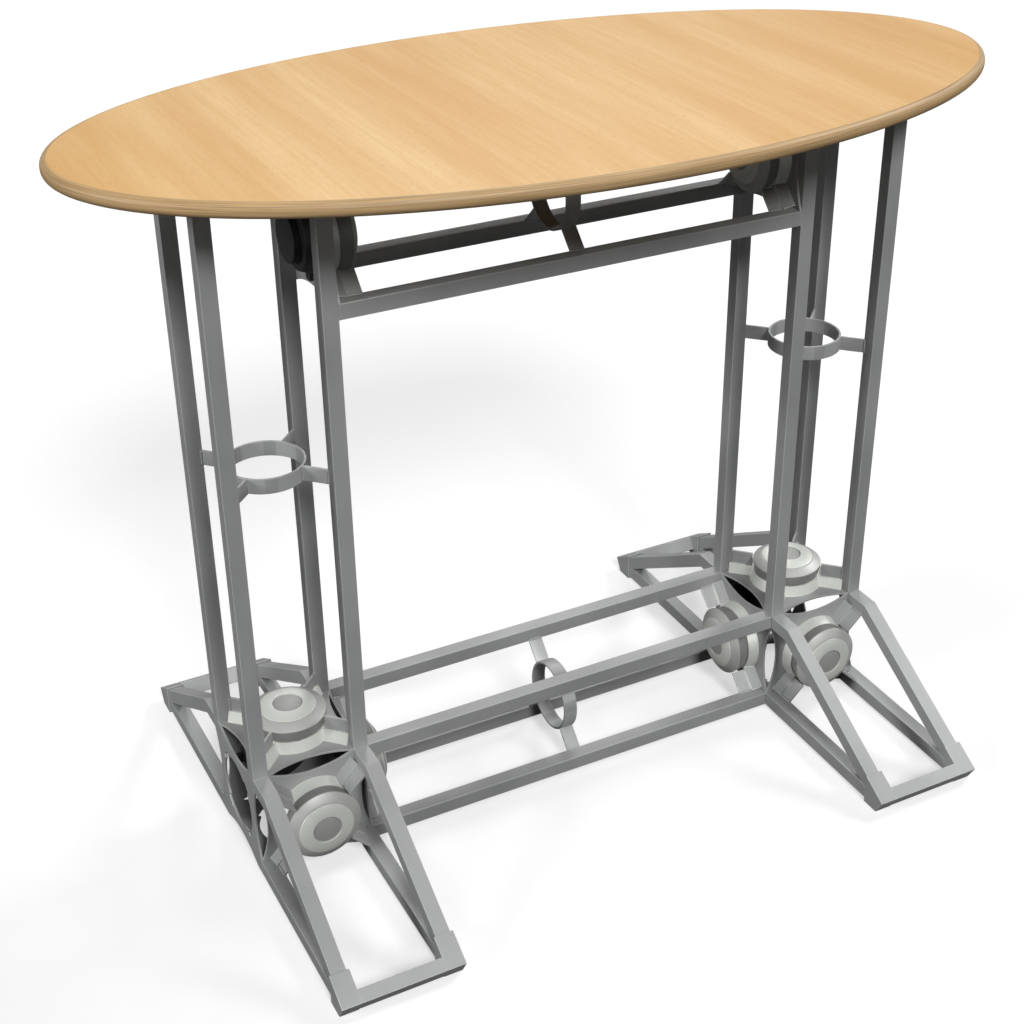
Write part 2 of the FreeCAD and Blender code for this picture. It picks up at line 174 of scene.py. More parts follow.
def floor_finish():
    """White floor with a pale shadow, which throws back only part of the light."""
    finish = bpy.data.materials.new("studio_floor")
    finish.use_nodes = True
    tree = finish.node_tree
    tree.nodes.clear()
    path = add(tree, "ShaderNodeLightPath")
    white = add(tree, "ShaderNodeBsdfDiffuse", {"Color": WHITE})
    glow = add(tree, "ShaderNodeEmission", {"Color": WHITE, "Strength": 1.0})
    shown = add(tree, "ShaderNodeMixShader", {0: FLOOR_GLOW, 1: (white, 0), 2: (glow, 0)})
    bounce = add(tree, "ShaderNodeBsdfDiffuse", {"Color": linear(FLOOR_BOUNCE)})
    mix = add(tree, "ShaderNodeMixShader", {0: (path, "Is Camera Ray"), 1: (bounce, 0), 2: (shown, 0)})
    add(tree, "ShaderNodeOutputMaterial", {"Surface": (mix, 0)})
    return finish


def studio_floor():
    """Wide square floor under the toe caps."""
    reach = FLOOR_HALF
    mesh = bpy.data.meshes.new("studio_floor")
    points = [(-reach, -reach, 0), (reach, -reach, 0), (reach, reach, 0), (-reach, reach, 0)]
    mesh.from_pydata(points, [], [(0, 1, 2, 3)])
    mesh.materials.append(floor_finish())
    floor = bpy.data.objects.new("studio_floor", mesh)
    bpy.context.scene.collection.objects.link(floor)


def softbox(name, azimuth, rise, strength):
    """Soft light of even strength from one side. Azimuth 0 is the front, positive to the right."""
    lamp = bpy.data.lights.new(name, "SUN")
    lamp.energy = strength
    lamp.angle = SOFTBOX_WIDTH
    light = bpy.data.objects.new(name, lamp)
    light.rotation_euler = (math.pi / 2 - rise, 0.0, azimuth)
    bpy.context.scene.collection.objects.link(light)


bpy.context.scene.world = studio_world()
bpy.context.scene.view_settings.view_transform = "Standard"
studio_floor()
for name, light in SOFTBOXES.items():
    softbox(name, **light)
print("studio lights", sorted(SOFTBOXES))

# %% [markdown]
# ## Starting a finish
# Every finish begins the same way: a Principled shader and the Object coordinates that patterns
# are laid out on. Object coordinates are in metres here, so a pattern's scale comes straight from
# its real size.

# %% A blank finish


def start_finish(name):
    """Material with a Principled shader: returns material, tree, shader and coordinates."""
    finish = bpy.data.materials.new(name)
    finish.use_nodes = True
    tree = finish.node_tree
    tree.nodes.clear()
    shader = add(tree, "ShaderNodeBsdfPrincipled")
    add(tree, "ShaderNodeOutputMaterial", {"Surface": (shader, "BSDF")})
    place = add(tree, "ShaderNodeTexCoord")
    return finish, tree, shader, place


def link(tree, source, output, shader, socket):
    """Feeds one of the shader's sockets."""
    tree.links.new(source.outputs[output], shader.inputs[socket])


print("finishes start from a Principled shader")

# %% [markdown]
# ## Beech veneer
# The worktop is a board with sliced beech veneer under clear satin lacquer. The veneer leaves run
# across the counter, a few degrees off square, and show as broad paler and darker bands. Inside
# them lies fine grain, and the short dark flecks that give beech away. Real flecks are only half
# a millimetre wide, so they are drawn a little coarser here to show at all.

# %% Beech veneer for the faces
GRAIN_TURN = math.radians(-6)
BAND_MM = (95.0, 1500.0, 1000.0)
GRAIN_MM = (7.0, 160.0, 1000.0)
FLECK_MM = (1.6, 14.0, 1000.0)
FLECK_DEPTH = 0.1 * MM
BAND_RANGE = (0.32, 0.68)
GRAIN_RANGE = (0.3, 0.7)
FLECK_RANGE = (0.58, 0.72)
GRAIN_SHARE = 0.35
FLECK_SHARE = 0.4
SATIN_SHEEN = (0.5, 0.62)
WOOD_IOR = 1.5
WOOD_SPECULAR = 0.3
LACQUER_WEIGHT = 0.05
LACQUER_ROUGHNESS = 0.4


def beech_veneer():
    """Lacquered beech: bands, fine grain and flecks across the board."""
    finish, tree, shader, place = start_finish("lacquered_beech_veneer")
    turn = (0.0, 0.0, GRAIN_TURN)
    fields = []
    for sizes, detail in ((BAND_MM, 3.0), (GRAIN_MM, 4.0), (FLECK_MM, 2.0)):
        spread = add(
            tree, "ShaderNodeMapping",
            {"Vector": (place, "Object"), "Rotation": turn, "Scale": per_metre(*sizes)},
        )
        fields.append(add(
            tree, "ShaderNodeTexNoise",
            {"Vector": (spread, 0), "Scale": 1.0, "Detail": detail, "Roughness": 0.55},
        ))
    bands, grain, flecks = fields
    band_level = add(tree, "ShaderNodeMapRange", {0: (bands, 0), 1: BAND_RANGE[0], 2: BAND_RANGE[1]})
    wood = add(
        tree, "ShaderNodeMix", {0: (band_level, 0), 6: linear("#d2a467"), 7: linear("#e5c38d")},
        data_type="RGBA",
    )
    grain_level = add(
        tree, "ShaderNodeMapRange",
        {0: (grain, 0), 1: GRAIN_RANGE[0], 2: GRAIN_RANGE[1], 3: 0.0, 4: GRAIN_SHARE},
    )
    grained = add(
        tree, "ShaderNodeMix", {0: (grain_level, 0), 6: (wood, 2), 7: linear("#cc9a5c")},
        data_type="RGBA",
    )
    fleck_level = add(
        tree, "ShaderNodeMapRange",
        {0: (flecks, 0), 1: FLECK_RANGE[0], 2: FLECK_RANGE[1], 3: 0.0, 4: FLECK_SHARE},
    )
    flecked = add(
        tree, "ShaderNodeMix", {0: (fleck_level, 0), 6: (grained, 2), 7: linear("#ba8850")},
        data_type="RGBA",
    )
    sheen = add(tree, "ShaderNodeMapRange", {0: (grain, 0), 3: SATIN_SHEEN[0], 4: SATIN_SHEEN[1]})
    relief = add(tree, "ShaderNodeBump", {"Height": (flecks, 0), "Strength": 0.12, "Distance": FLECK_DEPTH})
    link(tree, flecked, 2, shader, "Base Color")
    link(tree, sheen, 0, shader, "Roughness")
    link(tree, relief, 0, shader, "Normal")
    shader.inputs["IOR"].default_value = WOOD_IOR
    shader.inputs["Specular IOR Level"].default_value = WOOD_SPECULAR
    shader.inputs["Coat Weight"].default_value = LACQUER_WEIGHT
    shader.inputs["Coat Roughness"].default_value = LACQUER_ROUGHNESS
    return finish


veneer = beech_veneer()
print("made", veneer.name)

# %% [markdown]
# ## Beech lipping
# The rounded edge is a solid lipping glued round the board, so its grain runs along the rim. The
# pattern follows the rim's own UV map: U is the distance along the rim and V the distance over its
# round, both in metres.

# %% Lipping for the rounded edge
LIPPING_GRAIN_MM = (120.0, 1.3, 1000.0)
LIPPING_DEPTH = 0.2 * MM
LIPPING_RANGE = (0.36, 0.64)
LIPPING_ROUGHNESS = 0.5


def beech_lipping():
    """Edge of solid beech with its grain along the rim."""
    finish, tree, shader, place = start_finish("lacquered_beech_lipping")
    spread = add(
        tree, "ShaderNodeMapping", {"Vector": (place, "UV"), "Scale": per_metre(*LIPPING_GRAIN_MM)}
    )
    grain = add(
        tree, "ShaderNodeTexNoise",
        {"Vector": (spread, 0), "Scale": 1.0, "Detail": 3.0, "Roughness": 0.6},
    )
    level = add(tree, "ShaderNodeMapRange", {0: (grain, 0), 1: LIPPING_RANGE[0], 2: LIPPING_RANGE[1]})
    wood = add(
        tree, "ShaderNodeMix", {0: (level, 0), 6: linear("#9f815a"), 7: linear("#c4a476")},
        data_type="RGBA",
    )
    link(tree, wood, 2, shader, "Base Color")
    relief = add(tree, "ShaderNodeBump", {"Height": (grain, 0), "Strength": 0.2, "Distance": LIPPING_DEPTH})
    link(tree, relief, 0, shader, "Normal")
    shader.inputs["Roughness"].default_value = LIPPING_ROUGHNESS
    shader.inputs["IOR"].default_value = WOOD_IOR
    return finish


lipping = beech_lipping()
print("made", lipping.name)

# %% [markdown]
# ## Silver-grey coat
# Tubes, plates and strips are welded steel under a satin silver-grey coat. A metallic coat
# sits between paint and bare metal, so the shader is partly metallic. Broad soft clouds of tone
# come from uneven spraying, and the fine orange-peel ripple of a sprayed coat breaks the gloss.
# The bevels take a paler second version of the coat, a painted highlight along the edges. Some
# steps of the ring braces take a paler version too, as painted glints. On the rough castings the
# same coat dries matt.

# %% Silver coat in four states
CLOUD_MM = (170.0, 170.0, 170.0)
PEEL_MM = (1.8, 1.8, 1.8)
PEEL_DEPTH = 0.05 * MM
CLOUD_RANGE = (0.35, 0.65)
GLOSS_SPREAD = 0.05


def silver_coat(name, dark, light, roughness, metallic):
    """Metallic coat on steel between two close greys."""
    finish, tree, shader, place = start_finish(name)
    spread = add(tree, "ShaderNodeMapping", {"Vector": (place, "Object"), "Scale": per_metre(*CLOUD_MM)})
    clouds = add(tree, "ShaderNodeTexNoise", {"Vector": (spread, 0), "Scale": 1.0, "Detail": 2.0})
    level = add(tree, "ShaderNodeMapRange", {0: (clouds, 0), 1: CLOUD_RANGE[0], 2: CLOUD_RANGE[1]})
    tone = add(
        tree, "ShaderNodeMix", {0: (level, 0), 6: linear(dark), 7: linear(light)}, data_type="RGBA"
    )
    fine = add(tree, "ShaderNodeMapping", {"Vector": (place, "Object"), "Scale": per_metre(*PEEL_MM)})
    peel = add(tree, "ShaderNodeTexNoise", {"Vector": (fine, 0), "Scale": 1.0, "Detail": 1.0})
    gloss = add(
        tree, "ShaderNodeMapRange",
        {0: (peel, 0), 3: roughness - GLOSS_SPREAD, 4: roughness + GLOSS_SPREAD},
    )
    relief = add(tree, "ShaderNodeBump", {"Height": (peel, 0), "Strength": 0.15, "Distance": PEEL_DEPTH})
    link(tree, tone, 2, shader, "Base Color")
    link(tree, gloss, 0, shader, "Roughness")
    link(tree, relief, 0, shader, "Normal")
    shader.inputs["Metallic"].default_value = metallic
    return finish


coat = silver_coat("sprayed_silver_coat", "#9d9e9e", "#adaeae", roughness=0.55, metallic=0.34)
# Paler coat for the bevels: a painted highlight along the edges.
edge_highlight_coat = silver_coat("edge_highlight_silver_coat", "#adaeae", "#bdbebe", roughness=0.53, metallic=0.34)
# Paler coat for some steps of the ring braces: painted glints.
glint_coat = silver_coat("silver_strip_painted_glint", "#a6a7a7", "#b3b4b4", roughness=0.5, metallic=0.2)
matt = silver_coat("matt_silver_coat", "#8a8b8b", "#989999", roughness=0.62, metallic=0.2)
print("made", coat.name, edge_highlight_coat.name, glint_coat.name, matt.name)

# %% [markdown]
# ## Satin aluminium, nylon and zinc
# Knobs and end spiders are aluminium castings, turned and then blasted to a satin. The knob's
# shoulder is greyer and its centre disc duller, both as painted shade, and its grip band is darker
# still. The lock plugs are moulded nylon, black as painted shade inside the junctions. The worktop's
# screws are bright zinc. Turning leaves fine rings: they follow the turned profile through its UV
# map, drawn about a millimetre apart so that they can be seen.

# %% Aluminium, nylon and zinc
TURNING_MM = 1.1
TURNING_DEPTH = 0.05 * MM
CAST_MM = (2.5, 2.5, 2.5)
MOULD_MM = (0.9, 0.9, 0.9)
MOULD_DEPTH = 0.08 * MM
CAST_RANGE = (0.3, 0.7)
ALLOY_METALLIC = 0.32
NYLON_ROUGHNESS = 0.55
NYLON_IOR = 1.53
ZINC_GLOSS = (0.25, 0.4)
# At this scale one band of the Wave texture fills one unit of its coordinate.
BAND_PER_UNIT = 0.314


def satin_aluminium(name, dark, light, roughness):
    """Turned and blasted aluminium with faint turning rings along V of the UV map."""
    finish, tree, shader, place = start_finish(name)
    spread = add(tree, "ShaderNodeMapping", {"Vector": (place, "Object"), "Scale": per_metre(*CAST_MM)})
    grit = add(tree, "ShaderNodeTexNoise", {"Vector": (spread, 0), "Scale": 1.0, "Detail": 2.0})
    level = add(tree, "ShaderNodeMapRange", {0: (grit, 0), 1: CAST_RANGE[0], 2: CAST_RANGE[1]})
    tone = add(
        tree, "ShaderNodeMix", {0: (level, 0), 6: linear(dark), 7: linear(light)}, data_type="RGBA"
    )
    along = add(
        tree, "ShaderNodeMapping",
        {"Vector": (place, "UV"), "Scale": (0.0, *per_metre(TURNING_MM), 0.0)},
    )
    rings = add(
        tree, "ShaderNodeTexWave",
        {"Vector": (along, 0), "Scale": BAND_PER_UNIT, "Distortion": 0.0},
        wave_type="BANDS", bands_direction="Y",
    )
    relief = add(tree, "ShaderNodeBump", {"Height": (rings, 1), "Strength": 0.08, "Distance": TURNING_DEPTH})
    link(tree, tone, 2, shader, "Base Color")
    link(tree, relief, 0, shader, "Normal")
    shader.inputs["Roughness"].default_value = roughness
    shader.inputs["Metallic"].default_value = ALLOY_METALLIC
    return finish


def shade_black_nylon():
    """Moulded nylon, black as painted shade, with a fine spark-eroded texture."""
    finish, tree, shader, place = start_finish("black_nylon_painted_shade")
    spread = add(tree, "ShaderNodeMapping", {"Vector": (place, "Object"), "Scale": per_metre(*MOULD_MM)})
    grit = add(tree, "ShaderNodeTexNoise", {"Vector": (spread, 0), "Scale": 1.0, "Detail": 2.0})
    tone = add(
        tree, "ShaderNodeMix", {0: (grit, 0), 6: linear("#111111"), 7: linear("#1e1e1e")},
        data_type="RGBA",
    )
    relief = add(tree, "ShaderNodeBump", {"Height": (grit, 0), "Strength": 0.25, "Distance": MOULD_DEPTH})
    link(tree, tone, 2, shader, "Base Color")
    link(tree, relief, 0, shader, "Normal")
    shader.inputs["Roughness"].default_value = NYLON_ROUGHNESS
    shader.inputs["IOR"].default_value = NYLON_IOR
    return finish


def bright_zinc():
    """Zinc-plated steel screws, slightly uneven in gloss."""
    finish, tree, shader, place = start_finish("bright_zinc_steel")
    spread = add(tree, "ShaderNodeMapping", {"Vector": (place, "Object"), "Scale": per_metre(*CAST_MM)})
    cloud = add(tree, "ShaderNodeTexNoise", {"Vector": (spread, 0), "Scale": 1.0, "Detail": 1.0})
    tone = add(
        tree, "ShaderNodeMix", {0: (cloud, 0), 6: linear("#a9a89e"), 7: linear("#c6c5bd")},
        data_type="RGBA",
    )
    gloss = add(tree, "ShaderNodeMapRange", {0: (cloud, 0), 3: ZINC_GLOSS[0], 4: ZINC_GLOSS[1]})
    link(tree, tone, 2, shader, "Base Color")
    link(tree, gloss, 0, shader, "Roughness")
    shader.inputs["Metallic"].default_value = 1.0
    return finish


aluminium = satin_aluminium("satin_turned_aluminium", "#d4d6d0", "#dbddd7", roughness=0.5)
# Greyer shoulder and duller centre disc of the knob: painted shade.
shoulder_shade_aluminium = satin_aluminium("shoulder_painted_shade_aluminium", "#b4b5b2", "#babbb8", roughness=0.5)
disc_shade_aluminium = satin_aluminium("disc_painted_shade_aluminium", "#a3a4a2", "#a9aaa8", roughness=0.5)
dark_aluminium = satin_aluminium("dark_blasted_aluminium", "#8b8c8a", "#91928f", roughness=0.55)
# Black of the lock plugs: painted shade inside the junctions.
plug_shade_nylon = shade_black_nylon()
zinc = bright_zinc()
alloys = (aluminium, shoulder_shade_aluminium, disc_shade_aluminium, dark_aluminium)
print("made", [alloy.name for alloy in alloys], plug_shade_nylon.name, zinc.name)

# %% [markdown]
# ## Softened edges on the steel
# A square tube or a cut plate never has a knife edge, and the thin line of light along an edge
# tells the eye that it is metal. The CAD solids have the right shapes, so each steel piece is a
# copy of its node: its triangles are joined to whole faces, and a Bevel modifier rounds every
# sharp edge by well under a millimetre. The bevel's own faces take the paler coat, a painted
# highlight. Where two sections meet, the small rounds leave the fine dark joint line that such
# joints show. Solids of one node that touch are kept apart, because a bevel can't round a corner
# that two of them share.

# %% Steel pieces
JOIN_DISTANCE = 0.002 * MM
FLAT_ANGLE = math.radians(0.6)
SHARP_ANGLE = math.radians(32)
TUBE_EDGE = 0.9 * MM
PLATE_EDGE = 0.5 * MM
EDGE_SEGMENTS = 2
EDGE_FINISH_SLOT = 1
FACES_AT_EDGE = 2


def keep_apart(shell):
    """Gives every solid its own vertices: faces belong together where only two share an edge."""
    waiting = dict.fromkeys(shell.faces)
    while waiting:
        solid = [waiting.popitem()[0]]
        for face in solid:
            for edge in face.edges:
                if len(edge.link_faces) > FACES_AT_EDGE:
                    continue
                for beside in edge.link_faces:
                    if beside in waiting:
                        del waiting[beside]
                        solid.append(beside)
        bmesh.ops.split(shell, geom=solid, use_only_faces=True)


def whole_faces(source):
    """Copy of a node's mesh with its triangles joined to whole faces."""
    mesh = source.data.copy()
    shell = bmesh.new()
    shell.from_mesh(mesh)
    bmesh.ops.remove_doubles(shell, verts=shell.verts, dist=JOIN_DISTANCE)
    keep_apart(shell)
    bmesh.ops.dissolve_limit(shell, angle_limit=FLAT_ANGLE, verts=shell.verts, edges=shell.edges)
    shell.to_mesh(mesh)
    shell.free()
    mesh.shade_smooth()
    mesh.set_sharp_from_angle(angle=SHARP_ANGLE)
    return mesh


def softened(node, body, edge, finish, edge_finish):
    """Piece that stands for a node, its edges rounded, with the edge finish on the rounds, which on steel is
    a paler coat as painted highlight.
    """
    mesh = whole_faces(frame["nodes"][node])
    mesh.materials.clear()
    mesh.materials.append(finish)
    mesh.materials.append(edge_finish)
    piece = bpy.data.objects.new(node + "_finished", mesh)
    bpy.context.scene.collection.objects.link(piece)
    round_edge = piece.modifiers.new("rounded_edge", "BEVEL")
    round_edge.width = edge
    round_edge.segments = EDGE_SEGMENTS
    round_edge.limit_method = "ANGLE"
    round_edge.angle_limit = SHARP_ANGLE
    round_edge.harden_normals = True
    round_edge.loop_slide = False
    # On the steel the rounds take the paler coat, a painted edge highlight.
    round_edge.material = EDGE_FINISH_SLOT
    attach(piece, body)
    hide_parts(node)
    return piece


TUBE_WORDS = ("chord", "rails", "toe")
PLATE_WORDS = ("junction", "plate", "ring")
steel = []
for node in sorted(frame["nodes"]):
    if any(word in node for word in TUBE_WORDS):
        steel.append(softened(node, "frame", TUBE_EDGE, coat, edge_highlight_coat))
    elif any(node.endswith(word) for word in PLATE_WORDS):
        steel.append(softened(node, "frame", PLATE_EDGE, coat, edge_highlight_coat))
print("steel pieces", len(steel))

# %% [markdown]
# ## Painted glints on the ring braces
# The strip of a ring brace is bent in short steps, and each step catches the light a little
# differently. That is painted: faces are sorted by their angle about the ring's axis, and in every
# group of three steps one keeps the sprayed coat and two take a paler coat as a painted glint.

# %% Ring braces
BEND_STEP = math.radians(18)
STEPS_IN_GROUP = 3
GLINT_SLOT = 2


def section_axis(node):
    """Axis of a ring brace: columns stand up, cross trusses lie along X."""
    return Vector((0, 0, 1)) if "column" in node else Vector((1, 0, 0))


def painted_step_glints(ring, node):
    """Gives the steps of a bent ring the sprayed coat or a paler coat as painted glint."""
    low, high = (Vector(corner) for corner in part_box(node))
    turn = section_axis(node).rotation_difference(Vector((0, 0, 1)))
    ring.data.materials.append(glint_coat)
    for face in ring.data.polygons:
        spot = turn @ (face.center - (low + high) / 2)
        step = math.atan2(spot.y, spot.x) // BEND_STEP
        # Two steps in three take the paler coat, a painted glint.
        if step % STEPS_IN_GROUP:
            face.material_index = GLINT_SLOT


rings = [node for node in sorted(frame["nodes"]) if node.endswith("_ring")]
for node in rings:
    painted_step_glints(bpy.data.objects[node + "_finished"], node)
print("painted step glints on", rings)

# %% [markdown]
# ## The oval worktop
# The board is an ellipse with a generous round at both edges. A ring of points is set out on the
# ellipse and moved inward along the outline's own normal to draw the round, which keeps the round
# equally wide all the way. Each ring's distances become the rim's UV map for the lipping.

# %% Worktop
RIM_ROUND = 8 * MM
RIM_STEPS = 8
OVAL_SIDES = 288
VENEER_SLOT = 0
LIPPING_SLOT = 1
RIM_CORNERS = 4


def rim_outline(low, high):
    """(inset, height) points over the rounded edge, from the top face to the underside."""
    points = []
    for step in range(RIM_STEPS + 1):
        angle = math.pi / 2 * step / RIM_STEPS
        points.append((RIM_ROUND * (1 - math.sin(angle)), high - RIM_ROUND * (1 - math.cos(angle))))
    for inset, height in reversed(points[:]):
        points.append((inset, low + high - height))
    return points


def oval_ring(half_length, half_width, inset, height):
    """Points of the oval, moved inward by an inset square to its outline."""
    ring = []
    for side in range(OVAL_SIDES):
        turn = 2 * math.pi * side / OVAL_SIDES
        normal = Vector((math.cos(turn) / half_length, math.sin(turn) / half_width, 0)).normalized()
        outline = Vector((half_length * math.cos(turn), half_width * math.sin(turn), height))
        ring.append(outline - normal * inset)
    return ring


def worktop_board():
    """Oval board: veneered faces and a lipping round the rim."""
    low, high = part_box("worktop")
    outline = rim_outline(low[2], high[2])
    rings = [oval_ring(high[0], high[1], inset, height) for inset, height in outline]
    points = [point for ring in rings for point in ring]
    faces = [list(range(OVAL_SIDES)), list(reversed(range(len(points) - OVAL_SIDES, len(points))))]
    for row in range(len(rings) - 1):
        for side in range(OVAL_SIDES):
            after = (side + 1) % OVAL_SIDES
            start = row * OVAL_SIDES
            below = start + OVAL_SIDES
            faces.append([start + side, below + side, below + after, start + after])
    mesh = bpy.data.meshes.new("worktop_board")
    mesh.from_pydata(points, [], faces)
    rim_map(mesh, rings, outline)
    mesh.materials.append(veneer)
    mesh.materials.append(lipping)
    for face in mesh.polygons:
        on_rim = len(face.vertices) == RIM_CORNERS
        face.material_index = LIPPING_SLOT if on_rim else VENEER_SLOT
    mesh.shade_smooth()
    return mesh


def rim_map(mesh, rings, outline):
    """UV map of the rim, in metres along it and over it."""
    along = [0.0]
    middle = rings[len(rings) // 2]
    for side in range(OVAL_SIDES):
        along.append(along[-1] + (middle[(side + 1) % OVAL_SIDES] - middle[side]).length)
    over = [0.0]
    for before, after in zip(outline, outline[1:]):
        over.append(over[-1] + math.dist(before, after))
    layer = mesh.uv_layers.new(name="rim")
    for face in mesh.polygons:
        sides = [mesh.loops[loop].vertex_index % OVAL_SIDES for loop in face.loop_indices]
        wraps = len(face.vertices) == RIM_CORNERS and max(sides) - min(sides) > 1
        for loop, side in zip(face.loop_indices, sides):
            row = mesh.loops[loop].vertex_index // OVAL_SIDES
            step = OVAL_SIDES if wraps and side == 0 else side
            layer.data[loop].uv = (along[step], over[row])


board = bpy.data.objects.new("worktop_board", worktop_board())
bpy.context.scene.collection.objects.link(board)
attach(board, "frame")
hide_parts("worktop")
print("worktop faces", len(board.data.polygons))

# %% [markdown]
# ## Turned pieces
# A knob is turned: an outline of radius and height, spun about an axis. A lathe function spins the
# outline and stores the distance along it as the UV map's V. A second function first takes the
# sharpness off the outline's corners, as blasting does.

# %% Lathe
LATHE_SIDES = 96
LONGEST_EASE = 0.45


def eased(outline, radius):
    """Outline with each inner corner replaced by a small three-point round."""
    points = [Vector(outline[0])]
    for before, here, after in zip(outline, outline[1:], outline[2:]):
        here = Vector(here)
        back = Vector(before) - here
        ahead = Vector(after) - here
        start = here + back * min(radius / back.length, LONGEST_EASE)
        end = here + ahead * min(radius / ahead.length, LONGEST_EASE)
        points += [start, (start + 2 * here + end) / 4, end]
    return points + [Vector(outline[-1])]


def spun(name, outline):
    """Mesh of an outline spun about Z, from pole to pole."""
    shell = bmesh.new()
    layer = shell.loops.layers.uv.new("turning")
    rings = []
    for radius, height in outline:
        sides = 1 if radius < JOIN_DISTANCE else LATHE_SIDES
        rings.append([
            shell.verts.new((
                radius * math.cos(2 * math.pi * side / LATHE_SIDES),
                radius * math.sin(2 * math.pi * side / LATHE_SIDES),
                height,
            ))
            for side in range(sides)
        ])
    travel = [0.0]
    for before, after in zip(outline, outline[1:]):
        travel.append(travel[-1] + (after - before).length)
    for row, (first, second) in enumerate(zip(rings, rings[1:])):
        for side in range(LATHE_SIDES):
            corners = [
                (first[side % len(first)], side, travel[row]),
                (first[(side + 1) % len(first)], side + 1, travel[row]),
                (second[(side + 1) % len(second)], side + 1, travel[row + 1]),
                (second[side % len(second)], side, travel[row + 1]),
            ]
            unique = list({vert: (vert, turn, v) for vert, turn, v in corners}.values())
            face = shell.faces.new([vert for vert, turn, v in unique])
            for loop, (vert, turn, v) in zip(face.loops, unique):
                loop[layer].uv = (turn / LATHE_SIDES, v)
    bmesh.ops.recalc_face_normals(shell, faces=shell.faces)
    mesh = bpy.data.meshes.new(name)
    shell.to_mesh(mesh)
    shell.free()
    mesh.shade_smooth()
    mesh.set_sharp_from_angle(angle=SHARP_ANGLE)
    return mesh


def at_lock(mesh, joint):
    """Puts a mesh, made about Z, at a lock's point and along its axis."""
    turn = Vector((0, 0, 1)).rotation_difference(Vector(joint["axis"])).to_matrix().to_4x4()
    mesh.transform(Matrix.Translation(joint["pos_m"]) @ turn)


print("lathe with", LATHE_SIDES, "sides")

# %% [markdown]
# ## Twist-lock knobs
# Each truss section ends in a knob with a neck, a blasted grip band, a lip, a sloping shoulder and
# a crown with a disc let into its centre. It turns in the hub ring by an eighth of a turn and takes
# the black lock plug behind the plate with it. The outline repeats the CAD sizes, with eased
# corners. Only the neck is 0.3 mm slimmer, so that its flat sides clear those of the hub's bore.
# Shoulder, band and disc get their darker aluminium by radius and height; on shoulder and disc it is painted
# shade.

# %% Knobs
NECK_FOOT = 2.0 * MM
NECK_RADIUS = 39.7 * MM
SEAT = 15.3 * MM
BAND_RADIUS = 47.0 * MM
LIP_RADIUS = 50.0 * MM
LIP_FOOT = 31.3 * MM
LIP_TOP = 32.8 * MM
SHOULDER_RADIUS = 38.5 * MM
SHOULDER_TOP = 39.3 * MM
CROWN_RADIUS = 37.2 * MM
CROWN_FOOT = 40.5 * MM
CROWN_TOP = 44.3 * MM
GROOVE_RADIUS = 19.5 * MM
GROOVE_FLOOR = 41.3 * MM
DISC_RADIUS = 18.0 * MM
DISC_TOP = 43.3 * MM
KNOB_BORE = 32.0 * MM
KNOB_ROOF = 36.3 * MM
KNOB_EASE = 0.8 * MM
ZONE_MARGIN = 1.0 * MM
GROOVE_MARGIN = 0.2 * MM

KNOB_OUTLINE = [
    (0, KNOB_ROOF), (KNOB_BORE, KNOB_ROOF), (KNOB_BORE, NECK_FOOT), (NECK_RADIUS, NECK_FOOT),
    (NECK_RADIUS, SEAT), (BAND_RADIUS, SEAT), (LIP_RADIUS, LIP_FOOT), (LIP_RADIUS, LIP_TOP),
    (SHOULDER_RADIUS, SHOULDER_TOP), (CROWN_RADIUS, SHOULDER_TOP), (CROWN_RADIUS, CROWN_FOOT),
    (GROOVE_RADIUS, CROWN_TOP), (GROOVE_RADIUS, GROOVE_FLOOR), (DISC_RADIUS, GROOVE_FLOOR),
    (DISC_RADIUS, DISC_TOP), (0, DISC_TOP),
]


def knob_mesh(name):
    """Turned knob: bright crown, shoulder and centre disc darker as painted shade, and a dark grip band."""
    mesh = spun(name, eased(KNOB_OUTLINE, KNOB_EASE))
    for alloy in alloys:
        mesh.materials.append(alloy)
    for face in mesh.polygons:
        reach, height = face.center.xy.length, face.center.z
        if reach > BAND_RADIUS - ZONE_MARGIN and height < LIP_FOOT:
            face.material_index = alloys.index(dark_aluminium)
        # Darker centre disc and shoulder: painted shade.
        elif reach < GROOVE_RADIUS - GROOVE_MARGIN and height > KNOB_ROOF + ZONE_MARGIN:
            face.material_index = alloys.index(disc_shade_aluminium)
        elif reach > CROWN_RADIUS and height > LIP_FOOT:
            face.material_index = alloys.index(shoulder_shade_aluminium)
    return mesh


for joint in frame["joints"]:
    lock = joint["child"]
    node = lock.replace("_lock", "_knob")
    mesh = knob_mesh(node + "_turned")
    at_lock(mesh, joint)
    knob = bpy.data.objects.new(node + "_turned", mesh)
    bpy.context.scene.collection.objects.link(knob)
    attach(knob, lock)
    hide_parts(node)

# %% [markdown]
# ## Hub rings and lock plugs
# The spiders are castings: a hub ring on the star plate with a tapered arm to each chord. An
# upright steel strip is fixed on each arm, and takes the coat. On all but the columns' spiders the
# matt coat covers the arms as well. The lock plugs are cups with four lugs. All have the shape they
# need in the CAD already, so they are softened copies too, the plugs on the body of their own lock.
# Strips and arms are told from the hub ring by height over the star plate and by radius.

# %% Spiders and plugs
CAST_EDGE = 0.7 * MM
ARM_HEIGHT = 14.0 * MM
HUB_RADIUS = 53.5 * MM
STRIP_SLOT = 2
ARM_SLOT = 3


def from_lock(point):
    """Height of a point over the nearest lock's star plate, and its distance from the lock's axis."""
    joint = min(frame["joints"], key=lambda lock: (point - Vector(lock["pos_m"])).length)
    offset = point - Vector(joint["pos_m"])
    axis = Vector(joint["axis"])
    height = offset.dot(axis)
    return height, (offset - axis * height).length


